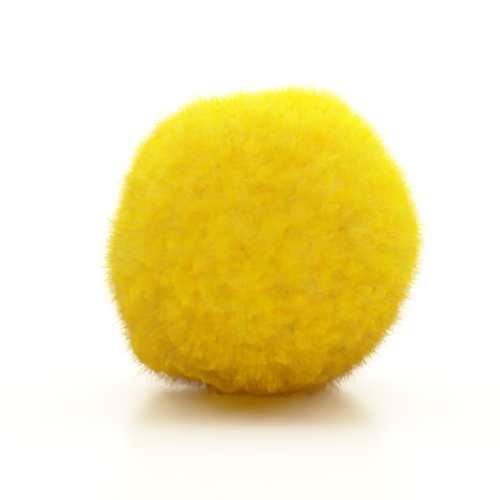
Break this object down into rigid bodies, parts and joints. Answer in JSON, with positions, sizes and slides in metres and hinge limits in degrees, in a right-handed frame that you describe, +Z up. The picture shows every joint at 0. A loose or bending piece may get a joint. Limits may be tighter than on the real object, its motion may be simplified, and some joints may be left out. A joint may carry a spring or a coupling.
{
  "type": "yarn pom pom",
  "caption": "Round yarn pom pom: a dense ball of cut yarn locks trimmed to an uneven sphere, with a small flat spot underneath that it rests on.",
  "frame": {"origin": "on the resting plane, in the flat spot straight under the middle of the ball", "axes": "+Z up, away from the surface it rests on; +X to the right and -Y towards the viewer who sees the fuller side of the ball at the lower left"},
  "size_m": [0.0491, 0.0492, 0.0481],
  "materials": {
    "yarn": "soft matt bright yellow yarn, fine and fluffy"
  },
  "bodies": {
    "root": {"yarn_pile": "yarn"}
  },
  "joints": []
}
